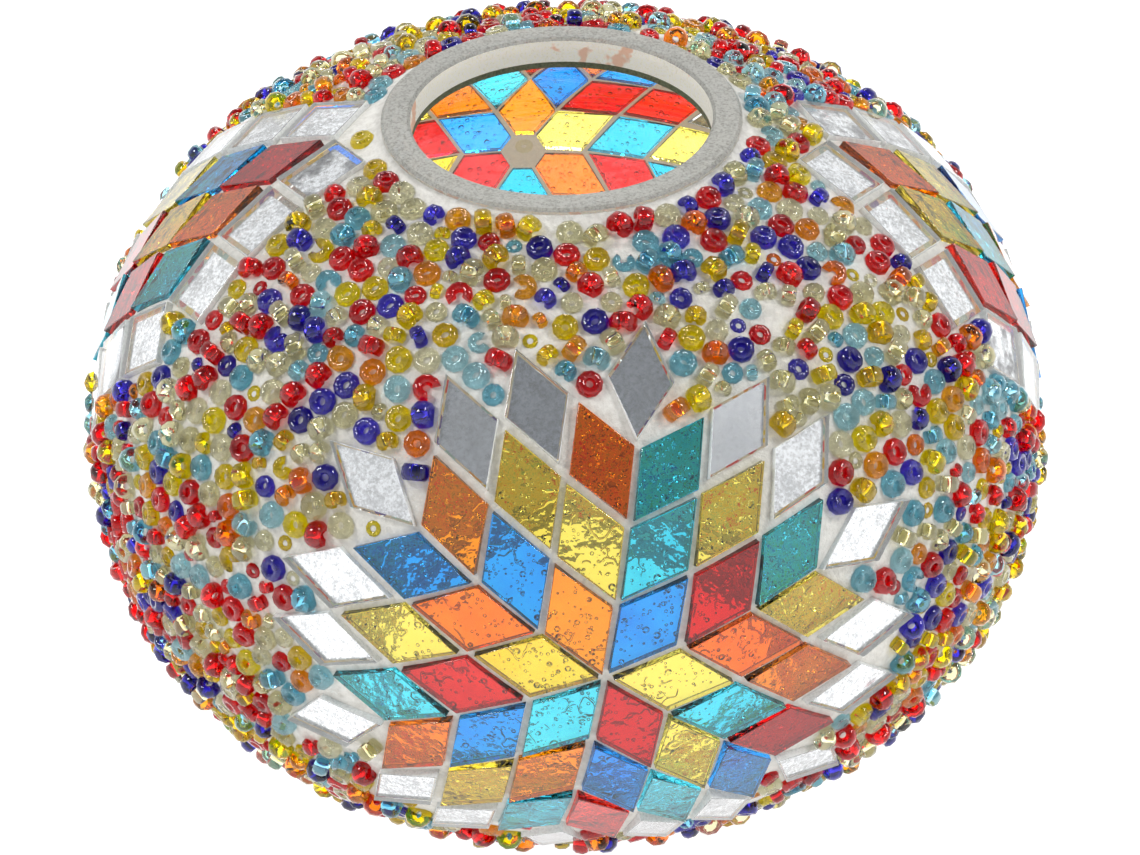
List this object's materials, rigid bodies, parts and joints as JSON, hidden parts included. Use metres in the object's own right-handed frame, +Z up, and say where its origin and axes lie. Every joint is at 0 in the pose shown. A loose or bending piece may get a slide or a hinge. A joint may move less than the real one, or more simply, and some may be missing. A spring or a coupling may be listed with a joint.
{
  "type": "mosaic glass lamp shade",
  "caption": "Round blown-glass lamp shade, open at both ends, covered with star and diamond patterns of cut glass, mirror tiles and seed beads set in grout.",
  "frame": {"origin": "centre of the bottom ground rim, on the plane that the shade stands on", "axes": "+Z up through both openings; -Y towards the front star; +X to the right seen from the front"},
  "size_m": [0.164, 0.1612, 0.1161],
  "materials": {
    "amber_bead_glass": "glossy",
    "aqua_bead_glass": "glossy",
    "blue_tile_glass": "coloured sheet glass, cut edges",
    "champagne_bead_glass": "glossy",
    "clear_adhesive": "clear",
    "clear_glass": "blown clear glass, ground matt on both rims",
    "cobalt_bead_glass": "glossy",
    "grout": "matt, warm light grey",
    "mirror_glass": "polished",
    "orange_bead_glass": "glossy",
    "orange_tile_glass": "coloured sheet glass, cut edges",
    "red_bead_glass": "glossy",
    "red_tile_glass": "coloured sheet glass, cut edges",
    "silvering": "silvered, a little worn",
    "turquoise_tile_glass": "coloured sheet glass, cut edges",
    "yellow_tile_glass": "coloured sheet glass, cut edges"
  },
  "bodies": {
    "root": {"adhesive_film": "clear_adhesive", "amber_beads": "amber_bead_glass", "aqua_beads": "aqua_bead_glass", "champagne_beads": "champagne_bead_glass", "cobalt_beads": "cobalt_bead_glass", "front_star_blue_tiles": "blue_tile_glass", "front_star_mirror_glass": "mirror_glass", "front_star_mirror_silvering": "silvering", "front_star_orange_tiles": "orange_tile_glass", "front_star_red_tiles": "red_tile_glass", "front_star_turquoise_tiles": "turquoise_tile_glass", "front_star_yellow_tiles": "yellow_tile_glass", "glass_globe": "clear_glass", "grout_coat": "grout", "left_diamond_blue_tiles": "blue_tile_glass", "left_diamond_mirror_glass": "mirror_glass", "left_diamond_mirror_silvering": "silvering", "left_diamond_orange_tiles": "orange_tile_glass", "left_diamond_red_tiles": "red_tile_glass", "left_diamond_turquoise_tiles": "turquoise_tile_glass", "left_diamond_yellow_tiles": "yellow_tile_glass", "orange_beads": "orange_bead_glass", "rear_star_blue_tiles": "blue_tile_glass", "rear_star_mirror_glass": "mirror_glass", "rear_star_mirror_silvering": "silvering", "rear_star_orange_tiles": "orange_tile_glass", "rear_star_red_tiles": "red_tile_glass", "rear_star_turquoise_tiles": "turquoise_tile_glass", "rear_star_yellow_tiles": "yellow_tile_glass", "red_beads": "red_bead_glass", "right_diamond_blue_tiles": "blue_tile_glass", "right_diamond_mirror_glass": "mirror_glass", "right_diamond_mirror_silvering": "silvering", "right_diamond_orange_tiles": "orange_tile_glass", "right_diamond_red_tiles": "red_tile_glass", "right_diamond_turquoise_tiles": "turquoise_tile_glass", "right_diamond_yellow_tiles": "yellow_tile_glass"}
  },
  "joints": []
}
